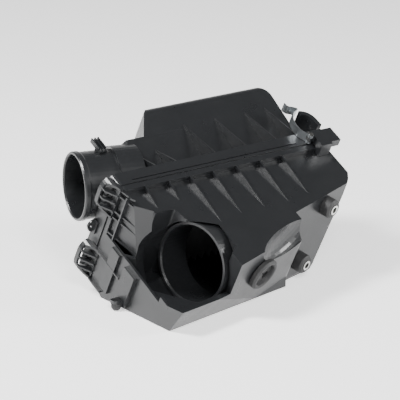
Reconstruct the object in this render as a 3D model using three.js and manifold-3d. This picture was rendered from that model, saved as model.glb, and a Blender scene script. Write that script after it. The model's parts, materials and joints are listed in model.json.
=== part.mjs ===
// Air filter housing of a passenger car: a lower case with a recessed inlet, a cover with an outlet
// tube, a pleated element between them, two spring latches and rubber supports.
//
// Two frames are used. The standing frame has +Z up, +X along the joint between the two halves and
// +Y toward the cover. The box frame leans back with the joint: its x runs along the joint, its y is
// the depth toward the cover and its z climbs in the plane of the joint. The box frame's origin is
// the upper left front corner of the joint's rim. All lengths are millimetres.
import * as THREE from 'three';
import { mergeVertices } from 'three/addons/utils/BufferGeometryUtils.js';
import Module from 'manifold-3d';

const wasm = await Module();
wasm.setup();

// ---- driving dimensions ------------------------------------------------------------------------
const LEAN = THREE.MathUtils.degToRad(27.8);   // lean of the joint plane from upright
const RIM_HEIGHT = 134;                        // height of the box frame's origin over the floor
const MIDDLE = { x: 132.96, y: 3.49 };         // standing x and y that become the part's origin
const WALL = 2.8;                              // moulded wall thickness
const GAP = 0.35;                              // gap between pieces that touch
const ARC_STEPS = 5;                           // steps in a rounded outline corner

const RIM = { left: 0, right: 271, top: 0, bottom: -131, corner: 9 };
const JOINT_Y = -12;                           // depth of the joint plane between case and cover
const LIP_FRONT = -19;                         // front of the case's lip
const SKIRT_BACK = 4.5;                        // back of the cover's rim
const RIM_WIDTH = 15;                          // how far the rims reach in over the opening

const CASE_TOP = -7;                           // the case's ribbed upper wall
const FRONT_SLOPE = Math.tan(THREE.MathUtils.degToRad(14.5));
const FRONT_LEFT_Y = -160.7;                   // front wall at the left end
const FRONT_END_X = 174;                       // right end of the front wall
const FRONT_NORMAL = [0.25, -0.968, 0];
const PLATE = { leftX: 182, rightX: 236, y: -109, normal: [0.25, -0.968, 0.2], offset: 132.5 };
const SKIRT = { left: 0.3, front: -96.5, normal: [0.133, -0.749, -0.65] };  // standing frame
const TRAY = { right: 172, front: -66.5, back: -40, height: 12.6 };          // standing frame
const CASE_CORNER = { point: [272, -56, -6], normal: [0.81, -0.56, -0.146] };
const SCOOP = { x: 146, inset: 3.5, radii: [46, 17, 25] };
const RIB = 1.8;                               // thickness of the stiffening ribs
const CASE_RIBS = [[30, -46], [59.5, -42], [86, -82], [115, -77], [145.6, -77], [176.5, -77], [206, -72]];
const COVER_RIBS = [[58, 39], [84, 39], [134, 62], [175, 62], [215, 62], [243, 62]];

const INLET = { at: [54, -93, -48], axis: [-0.967, -0.18, 0.178], bore: 39.5, outer: 42, length: 40 };
const OUTLET = { at: [-4.5, 43.8, -50], axis: [-0.969, 0.226, -0.096], bore: 32.6, outer: 35, length: 62 };
// Open recess round the inlet. Its floor is level at floorHeight over the ground.
const POCKET = { left: 22, right: 80, back: -52, sill: -53, ledge: -60, floorHeight: 25.4, clear: 44.6 };
const SHOULDER = { point: [0, -31, -7], normal: [-0.62, -0.78, 0.3] };
const DRAFT = { x: 3.4, y: -19, slope: 0.19 };  // the left wall's upper half leans in toward the front

const COVER = { right: 262, backY: 97, ridgeY: 76, ridgeZ: -9.2, crownY: 88, crownZ: -7.6, footZ: -21.6 };
const COVER_BLOCK = { left: 24, right: 130, backY: 78, ridgeY: 58, ridgeZ: -12 };

const HINGE = { x: -5, y: -5 };                // hinge line of the cover, along the box frame's z
const LOOPS = [{ name: 'upper', top: 2 }, { name: 'lower', top: -84 }];
const LOOP_HEIGHT = 40;
const LOOP = { reach: 12, band: 2.4, inner: 1.5 };
const TONGUE = { radius: 3, half: 3.4, thick: 5.2 };

const LATCH_PIN = { x: 247, y: -10.5 };        // pivot of a latch strap, along the box frame's z
const LATCHES = [{ name: 'upper', z: 0.6, up: 1 }, { name: 'lower', z: -131.6, up: -1 }];
const STRAP = { width: 10, thick: 1, eye: 2.9, relief: 4.2 };
const PIN = { radius: 1.4, head: 2.4 };
const CARRIER_HEIGHT = 8.4;

const GROMMETS = [{ name: 'upper', x: 226, z: -20 }, { name: 'lower', x: 197, z: -75 }];
const GROMMET = { outer: 10.5, neck: 7.6, sleeve: 5.4, bolt: 3.3, length: 12 };
const SUPPORT = { x: 114, z: -40, radius: 18, depth: 7, neck: 9, hole: 1.4 };
const STUB = { x: -7.85, y: -16, radius: 5.2, height: 7, neck: 2.6, bore: 2 };

const SEAL = { outer: [11.4, -119.6, 259.6, -11.4], inner: [19, -112, 252, -19], back: -2.4 };
const PLEATS = { left: 19.5, pitch: 9.28, count: 25, depth: 21.6, sheet: 4.8, low: -111.6, high: -19.4 };
const CLIP = { left: 18, right: 27, front: 47, back: 66, top: -11, foot: -24 };
const BRACKET = { thick: 2.6, low: -75, high: -57, hole: 1.7, holeX: -5.6, holeZ: -66.4 };

// ---- helpers -----------------------------------------------------------------------------------
const unitX = new THREE.Vector3(1, 0, 0);
const unitY = new THREE.Vector3(0, 1, 0);
const unitZ = new THREE.Vector3(0, 0, 1);

// A matrix that carries a shape drawn in x, y and extruded along z onto three given directions.
function basis(a, b, c, origin = [0, 0, 0]) {
  const m = new THREE.Matrix4().makeBasis(a, b, c);
  return m.setPosition(...origin);
}

const ALONG_Z = new THREE.Matrix4();
const ALONG_X = basis(unitY, unitZ, unitX);
const ALONG_Y = basis(unitX, unitZ, unitY.clone().negate());

// From the standing frame into the box frame.
const TO_BOX = new THREE.Matrix4()
  .makeRotationX(-LEAN)
  .multiply(new THREE.Matrix4().makeTranslation(0, 0, -RIM_HEIGHT));

function solid(geometry, matrix = ALONG_Z) {
  const bare = geometry.clone().applyMatrix4(matrix);
  bare.deleteAttribute('normal');
  bare.deleteAttribute('uv');
  const merged = mergeVertices(bare, 1e-4);
  return new wasm.Manifold(new wasm.Mesh({
    numProp: 3,
    vertProperties: new Float32Array(merged.attributes.position.array),
    triVerts: new Uint32Array(merged.index.array),
  }));
}

function geometryOf(manifold) {
  const mesh = manifold.getMesh();
  const geometry = new THREE.BufferGeometry();
  geometry.setAttribute('position', new THREE.BufferAttribute(mesh.vertProperties, 3));
  geometry.setIndex(new THREE.BufferAttribute(mesh.triVerts, 1));
  geometry.computeVertexNormals();
  return geometry;
}

function join(...solids) {
  return solids.reduce((sum, next) => sum.add(next));
}

// A closed outline whose corners are rounded with one radius.
function roundedShape(points, radius = 0) {
  const shape = new THREE.Shape();
  const count = points.length;
  points.forEach((point, i) => {
    const here = new THREE.Vector2(...point);
    const before = new THREE.Vector2(...points[(i + count - 1) % count]).sub(here);
    const after = new THREE.Vector2(...points[(i + 1) % count]).sub(here);
    const reach = Math.min(radius, before.length() / 2.05, after.length() / 2.05);
    const start = before.setLength(reach).add(here);
    const end = after.setLength(reach).add(here);
    if (i === 0) shape.moveTo(start.x, start.y);
    else shape.lineTo(start.x, start.y);
    if (reach > 0) shape.quadraticCurveTo(here.x, here.y, end.x, end.y);
  });
  shape.closePath();
  return shape;
}

function rectangle(left, bottom, right, top, radius = 0) {
  return roundedShape([[left, bottom], [right, bottom], [right, top], [left, top]], radius);
}

function prism(shape, from, to, matrix = ALONG_Z, steps = ARC_STEPS) {
  const geometry = new THREE.ExtrudeGeometry(shape, {
    depth: to - from, bevelEnabled: false, curveSegments: steps,
  });
  geometry.translate(0, 0, from);
  return solid(geometry, matrix);
}

// Extrusion along the box frame's x of an outline in (y, z), along y of one in (x, z), along z of
// one in (x, y).
const prismX = (shape, from, to, steps) => prism(shape, from, to, ALONG_X, steps);
const prismY = (shape, from, to, steps) => prism(shape, -to, -from, ALONG_Y, steps);
const prismZ = (shape, from, to, steps) => prism(shape, from, to, ALONG_Z, steps);

function box(x0, x1, y0, y1, z0, z1) {
  const geometry = new THREE.BoxGeometry(x1 - x0, y1 - y0, z1 - z0);
  geometry.translate((x0 + x1) / 2, (y0 + y1) / 2, (z0 + z1) / 2);
  return solid(geometry);
}

// Everything between two depths, for cutting.
function slab(fromY, toY) {
  return box(-50, 400, fromY, toY, -200, 50);
}

// Placement with z along an axis, at a point.
function alongAxis(at, axis) {
  const direction = new THREE.Vector3(...axis).normalize();
  const turn = new THREE.Quaternion().setFromUnitVectors(unitZ, direction);
  return new THREE.Matrix4().compose(new THREE.Vector3(...at), turn, new THREE.Vector3(1, 1, 1));
}

// A turned solid from (radius, height) points, listed counterclockwise or clockwise.
function turned(points, matrix = ALONG_Z, segments = 40) {
  const outline = points.map(([r, h]) => new THREE.Vector2(r, h));
  if (THREE.ShapeUtils.isClockWise(outline)) outline.reverse();
  const geometry = new THREE.LatheGeometry([...outline, outline[0]], segments);
  geometry.rotateX(Math.PI / 2);
  return solid(geometry, matrix);
}

function rod(radius, from, to, matrix = ALONG_Z, segments = 40) {
  const geometry = new THREE.CylinderGeometry(radius, radius, to - from, segments);
  geometry.rotateX(Math.PI / 2);
  geometry.translate(0, 0, (from + to) / 2);
  return solid(geometry, matrix);
}

// A big block on the far side of a plane, to cut with. The normal points into the block.
function beyond(point, normal, size = 600) {
  const geometry = new THREE.BoxGeometry(size, size, size);
  geometry.translate(0, 0, size / 2);
  return solid(geometry, alongAxis(point, normal));
}

// ---- shared outlines ---------------------------------------------------------------------------
const frontY = (x) => FRONT_LEFT_Y + FRONT_SLOPE * x;
const floorZ = (y) => (-RIM_HEIGHT - Math.sin(LEAN) * y) / Math.cos(LEAN);
const coverTopZ = (y) => COVER.footZ + (COVER.ridgeZ - COVER.footZ) * (y - 5) / (COVER.ridgeY - 5);
const inletPlace = alongAxis(INLET.at, INLET.axis);
const outletPlace = alongAxis(OUTLET.at, OUTLET.axis);

function rimShape(inset) {
  const { left, right, top, bottom, corner } = RIM;
  return rectangle(left + inset, bottom + inset, right - inset, top - inset, Math.max(corner - inset, 2));
}

// The case seen along the joint plane's z, drawn smaller by inset.
function casePlan(inset) {
  const left = inset;
  const right = RIM.right - inset;
  const front = inset / Math.cos(Math.atan(FRONT_SLOPE));
  return roundedShape([
    [left, JOINT_Y + 2],
    [left, frontY(0) + front],
    [FRONT_END_X - inset, frontY(FRONT_END_X) + front],
    [PLATE.leftX - inset, PLATE.y + front],
    [PLATE.rightX - inset, PLATE.y + FRONT_SLOPE * (PLATE.rightX - PLATE.leftX) + front],
    [right, -60 + inset * 0.6],
    [right, JOINT_Y + 2],
  ], 4);
}

// The outer form of the case, drawn smaller by inset. It stands on its flat floor.
function caseForm(inset) {
  const top = CASE_TOP - inset;
  const bottom = RIM.bottom + 4 + inset;
  const back = JOINT_Y + 2;
  const rise = inset / Math.cos(LEAN);
  const side = roundedShape([
    [back, top], [FRONT_LEFT_Y - 5, top], [FRONT_LEFT_Y - 5, floorZ(FRONT_LEFT_Y - 5) + rise],
    [-42, floorZ(-42) + rise], [-36, bottom], [back, bottom],
  ]);
  const raw = prismZ(casePlan(inset), -170, 10).intersect(prismX(side, -20, 300));
  const size = Math.hypot(...PLATE.normal);
  const depth = (PLATE.offset - inset * size) / size;
  const platePoint = PLATE.normal.map((n) => n / size * depth);
  const plateCut = beyond(platePoint, PLATE.normal)
    .intersect(box(FRONT_END_X - inset, 400, -300, 0, -200, 50));
  const [cornerX, cornerY, cornerZ] = CASE_CORNER.point;
  const corner = beyond([cornerX - inset, cornerY + inset * 0.6, cornerZ], CASE_CORNER.normal);
  const skirt = beyond([SKIRT.left, SKIRT.front + inset * 1.3, 0], SKIRT.normal);
  return raw.subtract(plateCut).subtract(corner).subtract(skirt.transform(TO_BOX.elements));
}

// ---- lower case --------------------------------------------------------------------------------
function inletPocket(grow) {
  const { left, right, back, floorHeight, clear } = POCKET;
  const plan = roundedShape([[left - grow, back + grow], [46 + grow, back + grow], [50 + grow, -69 + grow],
    [66 + grow, -78 + grow], [right + grow, -85 + grow], [right + grow, -117], [right - 10 + grow, -124],
    [right - 10 + grow, -220], [left - grow, -220]], 2);
  const shoulderPoint = SHOULDER.point.map((value, i) => value - SHOULDER.normal[i] * grow);
  const shoulder = beyond(shoulderPoint, SHOULDER.normal)
    .intersect(box(-20, left + 0.5, -220, 0, -100, 30));
  const level = beyond([0, 0, floorHeight - grow], [0, 0, 1]).transform(TO_BOX.elements);
  const well = rod(clear + grow, -29 - grow, 34, inletPlace, 48);
  return prismZ(plan, -100, 30).add(shoulder).intersect(level).add(well);
}

// What stays of the left wall beside the recess: a thin upright wall with a stepped top edge.
function pocketCurb() {
  const side = roundedShape([[-40, POCKET.ledge], [-98, POCKET.ledge], [-100, POCKET.sill],
    [-200, POCKET.sill], [-200, -200], [-40, -200]]);
  return prismX(side, -10, WALL);
}

// The wedge that the upper left wall's draft takes away.
function leftDraft(grow) {
  const { x, y, slope } = DRAFT;
  return beyond([x + grow, y, 0], [-1, -slope, 0]).intersect(box(-30, 30, -120, LIP_FRONT, POCKET.ledge, 30));
}

// A dished recess in the upper right of the front wall, deepest under the case's upper edge.
function scoop(grow) {
  const dish = new THREE.SphereGeometry(1, 28, 18);
  dish.scale(...SCOOP.radii.map((radius) => radius + grow));
  const yaw = new THREE.Matrix4().makeRotationZ(Math.atan(FRONT_SLOPE) + 0.1);
  yaw.setPosition(SCOOP.x, frontY(SCOOP.x) - SCOOP.inset, CASE_TOP - 1);
  return solid(dish, yaw);
}

// Slim ribs that stand on the case's upper wall and taper away from the rim.
function caseRibs() {
  return join(...CASE_RIBS.map(([x, end]) => {
    const side = roundedShape([[LIP_FRONT + 1, CASE_TOP - 1], [end, CASE_TOP - 1], [end, CASE_TOP + 0.2],
      [LIP_FRONT + 1, -1]]);
    return prismX(side, x - RIB / 2, x + RIB / 2);
  }));
}

// The D shaped guard loops at the left end, which hold the cover's hinge tongues.
function hingeLoop(top) {
  const bottom = top - LOOP_HEIGHT;
  const { reach, band, inner } = LOOP;
  const outline = (inset) => {
    const shape = new THREE.Shape();
    shape.moveTo(inner, bottom + inset);
    shape.lineTo(-3, bottom + inset);
    shape.quadraticCurveTo(inset - reach, bottom + 3 + inset, inset - reach, bottom + 15);
    shape.lineTo(inset - reach, top - 15);
    shape.quadraticCurveTo(inset - reach, top - 3 - inset, -3, top - inset);
    shape.lineTo(inner, top - inset);
    shape.closePath();
    return shape;
  };
  const plan = roundedShape([[-13, -3.4], [-8, -4], [-2, LIP_FRONT], [1.5, LIP_FRONT], [1.5, JOINT_Y],
    [-0.6, JOINT_Y], [-0.6, -4], [-3.8, 1.5], [-13, 1.5]]);
  const room = prismZ(plan, bottom - 1, top + 1);
  const hoop = prismY(outline(0), LIP_FRONT, inner, 6).subtract(prismY(outline(band), -30, 10, 6));
  const post = box(-1.2, inner, LIP_FRONT, JOINT_Y, bottom, top);
  const barPlan = roundedShape([[-11.6, 1], [-10, 1], [-9.6, -7], [-1, JOINT_Y - 0.4], [1.5, JOINT_Y - 0.4],
    [1.5, LIP_FRONT], [-3, LIP_FRONT], [-11.6, -8.4]]);
  const bars = [1, 2, 3].map((i) => {
    const z = top - i * LOOP_HEIGHT / 4;
    return prismZ(barPlan, z - RIB / 2, z + RIB / 2);
  });
  return join(hoop.intersect(room), post, ...bars);
}

// Ribs and raised panels on the case's left wall. The ribs fade into the drafted wall.
function leftWallRibs() {
  const wallX = (y) => DRAFT.x - DRAFT.slope * (y - DRAFT.y);
  const rib = (z, end) => {
    const back = LIP_FRONT + 0.5;
    const outline = roundedShape([[0.2, back], [wallX(back) + 1, back], [wallX(end) + 1, end],
      [wallX(end) - 0.2, end]]);
    return prismZ(outline, z - RIB / 2, z + RIB / 2);
  };
  const tall = [[-1.9, -40], [-9, -44], [-29, -47], [-37, -49], [-57.2, -64]].map(([z, end]) => rib(z, end));
  const low = [[-84.9, -60], [-123, -40]]
    .map(([z, end]) => box(-3.4, 1, end, LIP_FRONT + 0.5, z - RIB / 2, z + RIB / 2));
  const upright = box(0.4, 6, -30, -28.2, POCKET.ledge, -1.9);
  const panel = box(-4.5, 1, -82, -63, floorZ(-82) + 3, -64);
  const plate = box(-3, 1, -50, -36, -116, POCKET.ledge - 2);
  const stubRoom = rod(STUB.radius + GAP, -1, STUB.height + GAP, stubPlace, 28).transform(TO_BOX.elements);
  return join(...tall, ...low, upright, panel.subtract(stubRoom), plate);
}

function lowerCase() {
  const lip = prismY(rimShape(1.2), LIP_FRONT, JOINT_Y);
  const openingShape = rectangle(RIM.left + RIM_WIDTH, RIM.bottom + RIM_WIDTH,
    RIM.right - RIM_WIDTH, RIM.top - RIM_WIDTH, 6);
  const trayFront = roundedShape([[SKIRT.left, SKIRT.front], [TRAY.right, TRAY.front],
    [TRAY.right, TRAY.back], [SKIRT.left, TRAY.back]]);
  const tray = prism(trayFront, 0, TRAY.height, TO_BOX);
  const outside = caseForm(0).add(tray);
  const recess = inletPocket(0).subtract(pocketCurb());
  const body = join(outside.subtract(leftDraft(0)), leftWallRibs(), stubLedge())
    .subtract(recess).subtract(scoop(0))
    .subtract(slab(JOINT_Y - 3, 50));
  const opening = prismY(openingShape, -40, 20);
  const cavity = caseForm(WALL).intersect(slab(-300, LIP_FRONT + 2.6))
    .add(opening.intersect(slab(LIP_FRONT + 2, 20)))
    .subtract(inletPocket(WALL)).subtract(scoop(WALL)).subtract(leftDraft(WALL))
    .subtract(box(-50, POCKET.left, -300, -70, -200, 50));
  const inletBore = rod(INLET.outer + GAP, -INLET.length - 1, 10, inletPlace, 48);
  const loops = LOOPS.map((loop) => hingeLoop(loop.top));
  let result = join(body, lip, caseRibs(), ...loops).subtract(cavity).subtract(inletBore);
  for (const seat of [...grommetSeats(), supportSeat()]) result = result.subtract(seat);
  return result.subtract(beyond([0, 0, 0], [0, 0, -1]).transform(TO_BOX.elements));
}

// ---- inlet -------------------------------------------------------------------------------------
function inletDuct() {
  const { bore, outer, length } = INLET;
  return turned([[bore, -length], [bore, -2], [bore + 1.2, 0], [outer + 1.2, 0], [outer + 1.2, -4],
    [outer, -5.5], [outer, -length]], inletPlace, 56);
}

// ---- cover -------------------------------------------------------------------------------------
function coverForm(inset) {
  const bottom = [[COVER.backY - inset, -96 + inset], [COVER.backY - 16, -112 + inset], [-2, -119 + inset]];
  const domeSide = roundedShape([
    [-2, COVER.footZ - 1 - inset], [COVER.ridgeY, COVER.ridgeZ - inset], [COVER.crownY, COVER.crownZ - inset],
    [COVER.backY - 2.5 - inset * 0.6, COVER.crownZ - 4 - inset], [COVER.backY - inset, -24], ...bottom,
  ], 4);
  const blockSide = roundedShape([
    [-2, COVER.footZ - 1 - inset], [COVER_BLOCK.ridgeY, COVER_BLOCK.ridgeZ - inset],
    [61 - inset, -28 - inset * 0.5], [68 - inset, -36 - inset * 0.5], [76 - inset, -48 - inset * 0.5],
    [COVER_BLOCK.backY - inset, -60], [COVER_BLOCK.backY - inset, -92 + inset],
    [COVER_BLOCK.backY - 16, -108 + inset], [-2, -119 + inset],
  ], 2);
  const blockPlan = roundedShape([
    [COVER_BLOCK.left + inset, -2], [28 + inset, 5], [49 + inset, COVER_BLOCK.ridgeY],
    [54 + inset, COVER_BLOCK.backY], [COVER_BLOCK.right, COVER_BLOCK.backY], [COVER_BLOCK.right, -2],
  ], 3);
  const domePlan = roundedShape([
    [64 + inset, -2], [79 + inset, 56], [98 + inset, COVER.crownY], [110 + inset, COVER.backY + 1],
    [COVER.right - 14 - inset, COVER.backY + 1],
    [COVER.right - inset, COVER.backY - 16], [COVER.right - inset, -2],
  ], 5);
  const dome = prismX(domeSide, 0, 300).intersect(prismZ(domePlan, -200, 20));
  const block = prismX(blockSide, 0, COVER_BLOCK.right).intersect(prismZ(blockPlan, -130, 20));
  const shoulder = beyond([33 + inset, 5, -21.6], [-0.8, 0.3, 0.52]);
  return dome.add(block.subtract(shoulder));
}

// Upright gussets between the cover's top and its rim.
function coverGussets() {
  return join(...COVER_RIBS.map(([x, end]) => {
    const side = roundedShape([[SKIRT_BACK - 1, -0.5], [end, coverTopZ(end) + 0.2],
      [end, coverTopZ(end) - 1], [SKIRT_BACK - 1, COVER.footZ - 1]]);
    return prismX(side, x - RIB / 2, x + RIB / 2);
  }));
}

// The half ring at the cover's right corner that the latch strap grips.
function latchArch({ z, up }) {
  const low = up > 0 ? -20 : z - STRAP.width;
  const high = up > 0 ? z + STRAP.width : -112;
  const ring = new THREE.Shape();
  ring.moveTo(257, 27);
  ring.quadraticCurveTo(270, 24, 270, 9);
  ring.lineTo(270, 1);
  ring.lineTo(265, 1);
  ring.lineTo(265, 9);
  ring.quadraticCurveTo(265, 19, 257, 21.5);
  ring.closePath();
  const arch = prismZ(ring, low, high, 8);
  const web = box(256, 266, 3, 22, up > 0 ? -20 : -122, up > 0 ? -8 : -112);
  return arch.add(web);
}

// Round nosed tongues on the hinge line that turn inside the guard loops.
function hingeTongues() {
  const tongues = [];
  for (const loop of LOOPS) {
    for (const slot of [1, 2]) {
      const z = loop.top - (slot + 0.5) * LOOP_HEIGHT / 4;
      const { radius, half, thick } = TONGUE;
      const nose = rod(radius, z - half, z + half, basis(unitX, unitY, unitZ, [HINGE.x, HINGE.y, 0]), 20);
      tongues.push(nose, box(HINGE.x, 2, HINGE.y - thick / 2, HINGE.y + thick / 2, z - half, z + half));
    }
  }
  return join(...tongues);
}

function cover() {
  const rim = prismY(rimShape(0), JOINT_Y + GAP, SKIRT_BACK);
  const groove = prismY(rimShape(-5), -8.6, -7.4).subtract(prismY(rimShape(1.6), -12, 0))
    .intersect(box(20, 232, -20, 20, -20, 20));
  const outer = coverForm(0);
  const inner = coverForm(WALL).add(prismY(rectangle(20, -114, 254, -27, 6), -20, 6));
  const seatForSeal = prismY(rectangle(9.4, -121.6, 261.6, -9.4, 5), -20, -2);
  const boreEnd = -OUTLET.length - 2;
  const outletBore = rod(OUTLET.outer + GAP, boreEnd, 0, outletPlace, 48);
  const outletBoss = rod(OUTLET.outer + GAP + WALL, boreEnd - WALL, boreEnd + 24, outletPlace, 48);
  const arches = LATCHES.map(latchArch);
  return join(rim, outer.subtract(slab(-50, 0)), coverGussets(), hingeTongues(),
    outletBoss, ...arches).subtract(groove).subtract(inner).subtract(seatForSeal).subtract(outletBore);
}

// ---- outlet ------------------------------------------------------------------------------------
function outletDuct() {
  const { bore, outer, length } = OUTLET;
  return turned([[bore, -length], [bore, -1.5], [bore + 0.8, 0], [outer, 0], [outer + 1, -1.5],
    [outer + 1, -6], [outer, -7.5], [outer, -length]], outletPlace, 56);
}

// A ribbed tab on the back of the outlet, for a cable clip.
function harnessClip() {
  const { left, right, front, back, top, foot } = CLIP;
  const under = top - 2.2;
  const tab = box(left, right, front, back, under, top);
  const ribs = join(...[0, 3.8, 7.6].map((step) => {
    const x = left + step;
    return box(x, x + 1.4, front + 3, back, under, top + 3);
  }));
  const root = box(left, right, front, front + 9, foot, top - 1);
  return join(tab, ribs, root).subtract(rod(OUTLET.outer + GAP, -80, 10, outletPlace, 48));
}

// A small drilled lug that is clipped to the cover's left edge, for a vacuum hose.
function hoseBracket() {
  const { thick, low, high, hole, holeX, holeZ } = BRACKET;
  const outline = roundedShape([[-GAP, high], [-GAP, low], [-6, low + 2], [-9.4, low + 9],
    [-7.5, high - 3]], 2);
  const plate = prismY(outline, 0.2, thick);
  const rib = box(-2, -GAP, -4, 2, low + 1, high - 1);
  return join(plate, rib).subtract(rod(hole, -10, 10, ALONG_Y.clone().setPosition(holeX, 0, holeZ), 20));
}

// ---- filter element ----------------------------------------------------------------------------
function filterSeal() {
  const outer = prismY(rectangle(...SEAL.outer, 5), JOINT_Y + 0.4, SEAL.back);
  return outer.subtract(prismY(rectangle(...SEAL.inner, 3), -30, 10));
}

// Folded fabric: one closed zigzag sheet, extruded along the element's short side.
function filterPleats() {
  const { left, pitch, count, depth, sheet, low, high } = PLEATS;
  const top = JOINT_Y - 1;
  const ridges = [...Array(2 * count + 1).keys()];
  const edge = (drop) => ridges.map((i) => [left + i * pitch / 2, top - drop - (i % 2) * depth]);
  return prismZ(roundedShape([...edge(0), ...edge(sheet).reverse()]), low, high);
}

// ---- latches -----------------------------------------------------------------------------------
// The strap's centre line from its pivot around the arch to the finger lip.
function strapPath() {
  const points = [[0, 0.6], [-3.6, 5.4], [-6.4, 12], [-5.9, 22], [-3.2, 30], [0.6, 35.4],
    [5.4, 38.8], [10.9, 40.9], [7.6, 44.4], [2.4, 47.4], [1.4, 53]];
  const places = points.map(([x, y]) => new THREE.Vector3(x, y, 0));
  return new THREE.CatmullRomCurve3(places, false, 'catmullrom', 0.5);
}

function strapShape() {
  const steps = 30;
  const curve = strapPath();
  const near = [];
  const far = [];
  for (let i = 0; i <= steps; i += 1) {
    const point = curve.getPoint(i / steps);
    const tangent = curve.getTangent(i / steps);
    const side = new THREE.Vector3(-tangent.y, tangent.x, 0).multiplyScalar(STRAP.thick / 2);
    near.push([point.x + side.x, point.y + side.y]);
    far.unshift([point.x - side.x, point.y - side.y]);
  }
  return roundedShape([...near, ...far]);
}

const latchPivot = basis(unitX, unitY, unitZ, [LATCH_PIN.x, LATCH_PIN.y, 0]);

function latchStrap({ z, up }) {
  const low = up > 0 ? z : z - STRAP.width;
  const high = low + STRAP.width;
  const band = prism(strapShape(), low, high, latchPivot);
  const eye = rod(STRAP.eye, low, high, latchPivot, 24);
  const bore = rod(PIN.radius + GAP, low - 1, high + 1, latchPivot, 24);
  const mid = (low + high) / 2;
  const relief = rod(STRAP.relief, mid - 2.4, mid + 2.4, latchPivot, 24);
  return join(band, eye).subtract(bore).subtract(relief);
}

function latchPin({ z, up }) {
  const out = (distance) => z + up * distance;
  const neck = out(STRAP.width + 0.6);
  const end = out(STRAP.width + 1.8);
  const { radius, head } = PIN;
  return turned([[0, out(0.3)], [radius, out(0.3)], [radius, neck], [head, neck], [head, end], [0, end]],
    latchPivot, 24);
}

// The moulded carrier that is pushed over the case's lip and holds the strap's pivot.
function latchCarrier({ z, up }) {
  const low = up > 0 ? z : z - CARRIER_HEIGHT;
  const mid = (up > 0 ? z : z - STRAP.width) + STRAP.width / 2;
  const lipSide = up > 0 ? CASE_TOP + GAP : RIM.bottom + 4 - GAP;
  const blockLow = Math.min(lipSide, low);
  const blockHigh = Math.max(lipSide, low + CARRIER_HEIGHT);
  const block = box(251.5, 266, -27, -3, blockLow, blockHigh);
  const lip = box(200, 300, LIP_FRONT - GAP, 20, up > 0 ? -40 : RIM.bottom - GAP, up > 0 ? GAP : -90);
  const arm = box(LATCH_PIN.x - 2.5, 252, LATCH_PIN.y - 3, LATCH_PIN.y + 2.6, mid - 2.1, mid + 2.1);
  const hole = rod(PIN.radius + GAP, mid - 6, mid + 6, latchPivot, 24);
  const socket = box(265, 279, -24, -4, low, low + CARRIER_HEIGHT)
    .subtract(box(270, 290, -21.6, -6.4, low + 1.8, low + CARRIER_HEIGHT - 1.8));
  return join(block, arm, socket).subtract(lip).subtract(hole)
    .subtract(beyond([0, 0, 0.8], [0, 0, -1]).transform(TO_BOX.elements));
}

// ---- rubber mounts -----------------------------------------------------------------------------
function plateY(x, z) {
  const [acrossX, acrossY, acrossZ] = PLATE.normal;
  return (acrossX * x + acrossZ * z - PLATE.offset) / -acrossY;
}

function grommetPlace({ x, z }) {
  return alongAxis([x, plateY(x, z), z], PLATE.normal);
}

function grommetSeats() {
  return GROMMETS.map((spot) => rod(GROMMET.neck + GAP, -12, 6, grommetPlace(spot), 32));
}

function grommet(spot) {
  const { outer, neck, sleeve, length } = GROMMET;
  return turned([[sleeve + GAP, -6], [neck, -6], [neck, GAP], [outer, GAP], [outer, length - 2],
    [outer - 2, length], [sleeve + GAP, length]], grommetPlace(spot), 36);
}

function sleeve(spot) {
  const { sleeve: outer, bolt, length } = GROMMET;
  const end = length + 0.8;
  return turned([[bolt, -7], [outer, -7], [outer, end], [bolt, end]], grommetPlace(spot), 36);
}

function supportPlace() {
  return alongAxis([SUPPORT.x, frontY(SUPPORT.x), SUPPORT.z], FRONT_NORMAL);
}

function supportSeat() {
  return rod(SUPPORT.neck + GAP, -12, 6, supportPlace(), 32);
}

// A rubber puck: a raised ring round a sunken web with three windows and a small hole in its hub.
function supportPuck() {
  const { radius, depth, neck, hole } = SUPPORT;
  const web = depth - 4.5;
  let puck = turned([[0, -6], [neck, -6], [neck, GAP], [radius - 1, GAP], [radius, 1.2], [radius, depth - 2],
    [radius - 2, depth], [radius - 4, depth], [radius - 5, depth - 1], [radius - 5.6, web], [0, web]],
  supportPlace(), 40);
  for (const [angle, size] of [[95, 3.6], [215, 3.6], [335, 4.4]]) {
    const a = THREE.MathUtils.degToRad(angle);
    const spot = new THREE.Matrix4().makeTranslation(7 * Math.cos(a), 7 * Math.sin(a), 0);
    puck = puck.subtract(rod(size, -1, depth + 5, supportPlace().multiply(spot), 20));
  }
  return puck.subtract(rod(hole, -3, depth + 5, supportPlace(), 16));
}

// A soft stub under the left wall that drains water from the case.
const stubPlace = new THREE.Matrix4().makeTranslation(STUB.x, STUB.y, 0);

function drainStub() {
  const { radius, height, neck, bore } = STUB;
  const plug = height + 4.4;
  const shape = turned([[bore, 0.4], [radius - 1.6, 0.4], [radius, 3], [radius, height], [neck, height],
    [neck, plug], [bore, plug]], stubPlace, 28);
  return shape.transform(TO_BOX.elements);
}

// The case's ledge that the stub hangs from.
function stubLedge() {
  const { x, y, height, neck } = STUB;
  const outline = roundedShape([[x - 5, y - 5], [x + 9, y - 5], [x + 9, y + 5], [x - 5, y + 5]], 3);
  const ledge = prism(outline, height + GAP, height + 4);
  return ledge.subtract(rod(neck + GAP, -1, 40, stubPlace, 24)).transform(TO_BOX.elements);
}

// ---- materials and assembly --------------------------------------------------------------------
function finish(color, roughness, metalness) {
  return new THREE.MeshStandardMaterial({ color, roughness, metalness });
}

const blackPlastic = () => finish(0x1b1c1d, 0.42, 0);
const rubber = () => finish(0x161616, 0.75, 0);
const zincSteel = () => finish(0xaab0b2, 0.35, 1);
const brightSteel = () => finish(0xd8d8d6, 0.22, 1);
const filterFabric = () => finish(0x35373a, 0.95, 0);
const sealFoam = () => finish(0x2b2d30, 0.85, 0);

const leaning = new THREE.Group();
leaning.rotation.x = LEAN;
leaning.position.set(-MIDDLE.x, -MIDDLE.y, RIM_HEIGHT);

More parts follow.
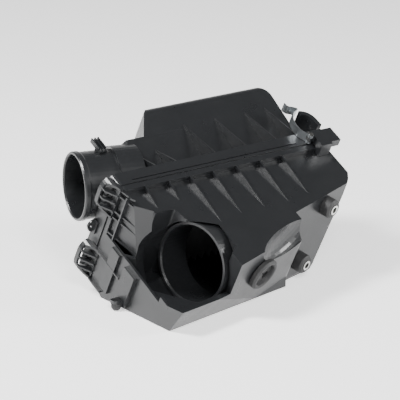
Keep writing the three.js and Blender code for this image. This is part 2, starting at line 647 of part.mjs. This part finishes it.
function addPiece(name, manifold, material) {
  const mesh = new THREE.Mesh(geometryOf(manifold), material);
  mesh.name = name;
  leaning.add(mesh);
}

addPiece('lower_case', lowerCase(), blackPlastic());
addPiece('inlet_duct', inletDuct(), blackPlastic());
addPiece('cover', cover(), blackPlastic());
addPiece('outlet_duct', outletDuct(), blackPlastic());
addPiece('harness_clip', harnessClip(), blackPlastic());
addPiece('hose_bracket', hoseBracket(), blackPlastic());
addPiece('filter_seal', filterSeal(), sealFoam());
addPiece('filter_pleats', filterPleats(), filterFabric());
for (const latch of LATCHES) {
  addPiece(`latch_strap_${latch.name}`, latchStrap(latch), zincSteel());
  addPiece(`latch_pin_${latch.name}`, latchPin(latch), brightSteel());
  addPiece(`latch_carrier_${latch.name}`, latchCarrier(latch), blackPlastic());
}
for (const spot of GROMMETS) {
  addPiece(`mount_grommet_${spot.name}`, grommet(spot), rubber());
  addPiece(`mount_sleeve_${spot.name}`, sleeve(spot), brightSteel());
}
addPiece('support_puck', supportPuck(), rubber());
addPiece('drain_stub', drainStub(), rubber());

const part = new THREE.Group();
part.add(leaning);
export default part;
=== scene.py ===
"""Looks of the air filter housing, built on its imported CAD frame. Lengths are metres."""

import json
import math

import bpy
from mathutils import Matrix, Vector

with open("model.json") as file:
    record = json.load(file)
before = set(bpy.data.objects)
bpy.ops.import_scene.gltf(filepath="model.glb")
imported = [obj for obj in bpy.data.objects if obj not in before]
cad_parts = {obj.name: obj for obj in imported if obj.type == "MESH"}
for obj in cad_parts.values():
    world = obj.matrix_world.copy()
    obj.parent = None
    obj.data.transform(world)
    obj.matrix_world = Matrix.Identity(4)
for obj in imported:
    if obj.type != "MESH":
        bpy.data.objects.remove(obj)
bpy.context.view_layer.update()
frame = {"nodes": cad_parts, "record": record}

# ---- dimensions and colours ----
CAMERA_PLACE = (-1.32763, -1.73241, 0.79115)
CAMERA_TURN = (72.048, 0.0, -37.049)
CAMERA_LENS = 198.0
PLASTIC = (0.0085, 0.009, 0.0098, 1)
RUBBER = (0.009, 0.009, 0.0093, 1)
ZINC = (0.50, 0.53, 0.55, 1)
STEEL = (0.72, 0.72, 0.70, 1)
FABRIC = (0.035, 0.036, 0.038, 1)
SEAL = (0.035, 0.036, 0.04, 1)
FLOOR = (0.86, 0.86, 0.86, 1)
FLOOR_GLOW = 0.8
FLOOR_HALF = 6.0
FLOOR_DROP = 0.0005
DEFAULT_EDGE = 0.0004
EDGE = {
    "lower_case": 0.0008, "cover": 0.0008, "inlet_duct": 0.0006, "outlet_duct": 0.0005,
    "latch_strap_upper": 0.0002, "latch_strap_lower": 0.0002,
    "latch_pin_upper": 0.0002, "latch_pin_lower": 0.0002, "filter_pleats": 0.0001,
}
LIGHT_AIM = (0, 0, 0.08)
LIGHTS = [  # name, place, side of the square lamp, power
    ("front_left", (-0.7, -1.6, 1.4), 0.6, 44),
    ("top_left", (-1.1, 0.42, 1.5), 0.5, 62),
    ("right_front", (1.2, -1.0, 0.7), 0.5, 24),
]
SKY_FADE = {"From Min": 0.2, "From Max": 0.6, "To Min": 1.15, "To Max": 0.1}


# ---- materials ----
class Graph:
    """A material's nodes, with short calls to add and link them."""

    def __init__(self, name):
        self.material = bpy.data.materials.new(name)
        self.material.use_nodes = True
        self.tree = self.material.node_tree
        self.shader = self.tree.nodes["Principled BSDF"]
        place = self.tree.nodes.new("ShaderNodeTexCoord")
        self.place = place.outputs["Object"]

    def put(self, kind, **values):
        node = self.tree.nodes.new(kind)
        for key, value in values.items():
            if key in node.inputs:
                node.inputs[key].default_value = value
            else:
                setattr(node, key, value)
        return node

    def link(self, out, into):
        self.tree.links.new(out, into)

    def set(self, socket, value):
        self.shader.inputs[socket].default_value = value

    def noise(self, scale, detail=3.0, rough=0.5, source=None):
        node = self.put("ShaderNodeTexNoise", Scale=scale, Detail=detail, Roughness=rough)
        self.link(source or self.place, node.inputs["Vector"])
        return node.outputs["Fac"]

    def spread(self, fac, low, high):
        node = self.put("ShaderNodeMapRange")
        node.inputs["To Min"].default_value = low
        node.inputs["To Max"].default_value = high
        self.link(fac, node.inputs["Value"])
        return node.outputs["Result"]

    def mix(self, fac, a, b):
        node = self.put("ShaderNodeMix", data_type="RGBA")
        for socket, value in ((6, a), (7, b)):
            if isinstance(value, tuple):
                node.inputs[socket].default_value = value
            else:
                self.link(value, node.inputs[socket])
        self.link(fac, node.inputs[0])
        return node.outputs[2]

    def bump(self, height, strength, distance):
        node = self.put("ShaderNodeBump", Strength=strength, Distance=distance)
        self.link(height, node.inputs["Height"])
        if self.shader.inputs["Normal"].links:
            self.link(self.shader.inputs["Normal"].links[0].from_socket, node.inputs["Normal"])
        self.link(node.outputs["Normal"], self.shader.inputs["Normal"])


def tinted(color, factor):
    return tuple(min(1.0, part * factor) for part in color[:3]) + (1,)


def moulded_plastic(name, color, rough):
    """Satin moulded plastic: fine spark grain, faint flow marks and dust."""
    g = Graph(name)
    cloud = g.noise(14, 4, 0.6)
    flow = g.noise(60, 2, 0.5)
    dust = g.noise(420, 3, 0.7)
    worn = g.mix(cloud, tinted(color, 0.82), tinted(color, 1.35))
    g.link(g.mix(g.spread(dust, 0.0, 0.35), worn, tinted(color, 2.6)), g.shader.inputs["Base Color"])
    g.link(g.spread(flow, rough - 0.07, rough + 0.1), g.shader.inputs["Roughness"])
    g.bump(g.noise(1900, 2, 0.6), 0.18, 0.00012)
    g.bump(g.noise(90, 3, 0.5), 0.12, 0.0004)
    return g.material


def moulded_rubber(name, color):
    """Matte rubber with a powdery bloom."""
    g = Graph(name)
    bloom = g.noise(120, 4, 0.65)
    g.link(g.mix(bloom, tinted(color, 0.8), tinted(color, 2.2)), g.shader.inputs["Base Color"])
    g.link(g.spread(bloom, 0.5, 0.72), g.shader.inputs["Roughness"])
    g.bump(g.noise(1500, 2, 0.7), 0.25, 0.00015)
    return g.material


def bare_metal(name, color, rough, scale):
    """Metal with fine rolling or turning marks and slight tarnish."""
    g = Graph(name)
    g.set("Metallic", 1.0)
    stretch = g.put("ShaderNodeMapping")
    stretch.inputs["Scale"].default_value = (scale, scale, scale * 0.06)
    g.link(g.place, stretch.inputs["Vector"])
    marks = g.noise(1.0, 3, 0.6, stretch.outputs["Vector"])
    tarnish = g.noise(160, 3, 0.6)
    g.link(g.mix(tarnish, tinted(color, 0.72), tinted(color, 1.15)), g.shader.inputs["Base Color"])
    g.link(g.spread(marks, rough - 0.08, rough + 0.14), g.shader.inputs["Roughness"])
    g.bump(marks, 0.15, 0.0001)
    return g.material


def filter_fabric(name, color):
    """Fibrous dark non-woven fabric."""
    g = Graph(name)
    fibre = g.noise(900, 5, 0.75)
    g.link(g.mix(fibre, tinted(color, 0.8), tinted(color, 1.1)), g.shader.inputs["Base Color"])
    g.set("Roughness", 0.92)
    g.bump(fibre, 0.5, 0.0002)
    return g.material


def floor_paint(name, color):
    """Matte white sheet, faintly lit from below."""
    g = Graph(name)
    g.link(g.mix(g.noise(3, 2), tinted(color, 0.99), tinted(color, 1.01)), g.shader.inputs["Base Color"])
    g.set("Roughness", 0.85)
    g.set("Emission Color", (1, 1, 1, 1))
    g.set("Emission Strength", FLOOR_GLOW)
    return g.material


MATERIALS = {
    "black_plastic": moulded_plastic("black_plastic", PLASTIC, 0.29),
    "rubber": moulded_rubber("rubber", RUBBER),
    "zinc_steel": bare_metal("zinc_steel", ZINC, 0.34, 2600),
    "bright_steel": bare_metal("bright_steel", STEEL, 0.2, 3400),
    "filter_fabric": filter_fabric("filter_fabric", FABRIC),
    "seal_foam": moulded_rubber("seal_foam", SEAL),
}


def dress(node, slot):
    """Gives a CAD node its material and eased edges."""
    piece = frame["nodes"][node]
    piece.data.materials.clear()
    piece.data.materials.append(MATERIALS[slot])
    flat = piece.modifiers.new("merge_flats", "DECIMATE")
    flat.decimate_type = "DISSOLVE"
    flat.angle_limit = math.radians(0.6)
    ease = piece.modifiers.new("eased_edges", "BEVEL")
    ease.width = EDGE.get(node, DEFAULT_EDGE)
    ease.segments = 2
    ease.limit_method = "ANGLE"
    ease.angle_limit = math.radians(35)
    ease.harden_normals = True


for entry in frame["record"]["subparts"]:
    dress(entry["node"], entry["material_slot"])


# ---- stage ----
def floor_sheet():
    size = FLOOR_HALF
    mesh = bpy.data.meshes.new("floor")
    corners = [(-size, -size, 0), (size, -size, 0), (size, size, 0), (-size, size, 0)]
    mesh.from_pydata(corners, [], [(0, 1, 2, 3)])
    sheet = bpy.data.objects.new("floor", mesh)
    sheet.location.z = -FLOOR_DROP
    mesh.materials.append(floor_paint("floor_paint", FLOOR))
    bpy.context.scene.collection.objects.link(sheet)


def soft_light(name, place, size, power):
    data = bpy.data.lights.new(name, "AREA")
    data.shape = "RECTANGLE"
    data.size = data.size_y = size
    data.energy = power
    lamp = bpy.data.objects.new(name, data)
    lamp.location = place
    direction = [b - a for a, b in zip(place, LIGHT_AIM)]
    lamp.rotation_euler = Vector(direction).to_track_quat("-Z", "Y").to_euler()
    bpy.context.scene.collection.objects.link(lamp)


def studio():
    """Sky that is bright at the horizon and dark overhead, and three soft lamps."""
    world = bpy.data.worlds.new("studio")
    world.use_nodes = True
    background = world.node_tree.nodes["Background"]
    background.inputs["Color"].default_value = (1, 1, 1, 1)
    links, nodes = world.node_tree.links, world.node_tree.nodes
    split = nodes.new("ShaderNodeSeparateXYZ")
    links.new(nodes.new("ShaderNodeTexCoord").outputs["Generated"], split.inputs[0])
    fade = nodes.new("ShaderNodeMapRange")
    for socket, value in SKY_FADE.items():
        fade.inputs[socket].default_value = value
    links.new(split.outputs["Z"], fade.inputs["Value"])
    links.new(fade.outputs["Result"], background.inputs["Strength"])
    bpy.context.scene.world = world
    for name, place, size, power in LIGHTS:
        soft_light(name, place, size, power)


def photo_camera():
    data = bpy.data.cameras.new("photo_camera")
    data.lens = CAMERA_LENS
    data.sensor_width = 36
    data.clip_end = 50
    camera = bpy.data.objects.new("photo_camera", data)
    camera.location = CAMERA_PLACE
    camera.rotation_euler = [math.radians(a) for a in CAMERA_TURN]
    bpy.context.scene.collection.objects.link(camera)
    bpy.context.scene.camera = camera


photo_camera()
floor_sheet()
studio()
